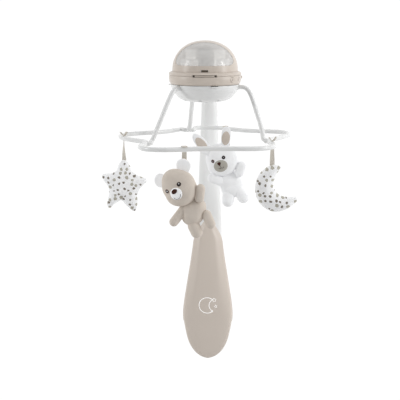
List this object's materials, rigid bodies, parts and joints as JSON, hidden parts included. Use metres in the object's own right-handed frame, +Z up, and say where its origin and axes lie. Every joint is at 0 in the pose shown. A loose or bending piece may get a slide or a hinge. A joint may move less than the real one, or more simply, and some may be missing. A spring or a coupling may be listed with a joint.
{
  "type": "crib mobile",
  "caption": "Clamp-on crib mobile: curved arm, domed night-light head, turning three-lobed ring and soft toys hung on ribbons.",
  "frame": {"origin": "middle of the underside of the bridge that rests on top of the crib rail, halfway across the clamp gap", "axes": "+Z up along the mast, +Y away from the inside of the crib (paddle to mast), +X to the right seen from inside the crib"},
  "size_m": [0.3491, 0.4632, 0.649],
  "materials": {
    "beige_plastic": "satin moulded",
    "white_plastic": "semi-gloss moulded",
    "smoke_window": "translucent moulded",
    "dark_plastic": "matt moulded",
    "grey_plastic": "matt moulded",
    "soft_rubber": "soft grip",
    "plated_steel": "zinc plated",
    "circuit_board": "coated board",
    "cell_wrap": "plain sleeve",
    "beige_ribbon": "grosgrain weave",
    "spotted_fabric": "short plush printed with blobs",
    "beige_velour": "short pile",
    "white_plush": "short pile"
  },
  "bodies": {
    "frame": {"paddle_front_shell": "beige_plastic", "paddle_rear_shell": "beige_plastic", "paddle_grip_pad": "soft_rubber", "rail_bridge": "white_plastic", "bridge_screw_left": "plated_steel", "bridge_screw_right": "plated_steel", "mast_tube": "white_plastic", "clamp_bush": "plated_steel", "arm": "white_plastic", "lower_housing": "beige_plastic", "upper_housing": "beige_plastic", "dome_cover": "beige_plastic", "dome_window": "smoke_window", "sensor_window": "dark_plastic", "lamp_housing": "grey_plastic", "star_film": "dark_plastic", "projection_lens": "smoke_window", "main_board": "circuit_board", "speaker": "dark_plastic", "drive_motor": "plated_steel", "battery_cell_left": "cell_wrap", "battery_cell_middle": "cell_wrap", "battery_cell_right": "cell_wrap", "spindle": "plated_steel", "spindle_clip": "plated_steel"},
    "carousel": {"bowl_shell": "white_plastic", "hub_gear": "white_plastic", "leg_front_left": "white_plastic", "leg_front_right": "white_plastic", "leg_rear": "white_plastic", "ring_lobe_left": "white_plastic", "ring_lobe_front": "white_plastic", "ring_lobe_right": "white_plastic", "star_ribbon_tails": "beige_ribbon", "bear_ribbon_tails": "beige_ribbon", "moon_ribbon_tails": "beige_ribbon", "bunny_ribbon_tails": "beige_ribbon"},
    "pinion": {"motor_pinion": "white_plastic"},
    "star": {"star_ribbon": "beige_ribbon", "star_toy": "spotted_fabric"},
    "bear": {"bear_ribbon": "beige_ribbon", "bear_head": "beige_velour", "bear_body": "beige_velour"},
    "moon": {"moon_ribbon": "beige_ribbon", "moon_toy": "spotted_fabric"},
    "bunny": {"bunny_ribbon": "beige_ribbon", "bunny_head": "white_plush", "bunny_body": "white_plush"},
    "slider": {"focus_slider": "beige_plastic"},
    "music_key": {"music_button": "beige_plastic"},
    "volume_key": {"volume_button": "beige_plastic"},
    "light_key": {"light_button": "beige_plastic"},
    "tab_front": {"release_tab_front": "white_plastic"},
    "tab_left": {"release_tab_left": "white_plastic"},
    "tab_right": {"release_tab_right": "white_plastic"},
    "door": {"battery_door": "beige_plastic"},
    "jaw": {"jaw_plate": "white_plastic", "jaw_pad": "soft_rubber"},
    "screw": {"clamp_screw": "plated_steel", "clamp_knob": "white_plastic"}
  },
  "joints": [
    {"name": "carousel_spin", "type": "hinge", "parent": "frame", "child": "carousel", "pos_m": [0, -0.184, 0.336], "axis": [0, 0, 1], "continuous": true},
    {"name": "pinion_spin", "type": "hinge", "parent": "frame", "child": "pinion", "pos_m": [0.01923, -0.20013, 0.336], "axis": [0, 0, 1], "continuous": true},
    {"name": "focus_slide", "type": "hinge", "parent": "frame", "child": "slider", "pos_m": [0, -0.184, 0.3529], "axis": [0, 0, 1], "range_deg": [-3.2, 3.2]},
    {"name": "music_press", "type": "slide", "parent": "frame", "child": "music_key", "axis": [-0.7615, 0.6481, 0], "range_m": [0, 0.0015], "stiffness_N_per_m": 500},
    {"name": "volume_press", "type": "slide", "parent": "frame", "child": "volume_key", "axis": [-0.9311, 0.3649, 0], "range_m": [0, 0.0015], "stiffness_N_per_m": 500},
    {"name": "light_press", "type": "slide", "parent": "frame", "child": "light_key", "axis": [-0.9996, -0.0279, 0], "range_m": [0, 0.0015], "stiffness_N_per_m": 500},
    {"name": "tab_front_press", "type": "slide", "parent": "carousel", "child": "tab_front", "axis": [-0.3107, 0.9505, 0], "range_m": [0, 0.002], "stiffness_N_per_m": 600},
    {"name": "tab_left_press", "type": "slide", "parent": "carousel", "child": "tab_left", "axis": [0.9767, -0.2147, 0], "range_m": [0, 0.002], "stiffness_N_per_m": 600},
    {"name": "tab_right_press", "type": "slide", "parent": "carousel", "child": "tab_right", "axis": [-0.6743, -0.7385, 0], "range_m": [0, 0.002], "stiffness_N_per_m": 600},
    {"name": "battery_door_slide", "type": "slide", "parent": "frame", "child": "door", "axis": [-0.9063, 0.4226, 0], "range_m": [0, 0.015]},
    {"name": "jaw_slide", "type": "slide", "parent": "frame", "child": "jaw", "axis": [0, -1, 0], "range_m": [0, 0.024]},
    {"name": "knob_turn", "type": "hinge", "parent": "jaw", "child": "screw", "pos_m": [0, 0.041, -0.059], "axis": [0, -1, 0], "range_deg": [0, 2160.5]},
    {"name": "star_swing", "type": "hinge", "parent": "carousel", "child": "star", "pos_m": [-0.14631, -0.19365, 0.2335], "axis": [-0.509, 0.8607, 0], "range_deg": [-30, 30]},
    {"name": "bear_swing", "type": "hinge", "parent": "carousel", "child": "bear", "pos_m": [-0.02835, -0.33124, 0.2335], "axis": [0.9532, 0.3024, 0], "range_deg": [-30, 30]},
    {"name": "moon_swing", "type": "hinge", "parent": "carousel", "child": "moon", "pos_m": [0.11957, -0.25565, 0.2335], "axis": [-0.2181, 0.9759, 0], "range_deg": [-30, 30]},
    {"name": "bunny_swing", "type": "hinge", "parent": "carousel", "child": "bunny", "pos_m": [0.03924, -0.03407, 0.2335], "axis": [-0.7727, 0.6347, 0], "range_deg": [-30, 2]}
  ],
  "couplings": [
    {"joint": "pinion_spin", "follows": "carousel_spin", "ratio": -3},
    {"joint": "knob_turn", "follows": "jaw_slide", "rad_per_m": 1570.8}
  ]
}
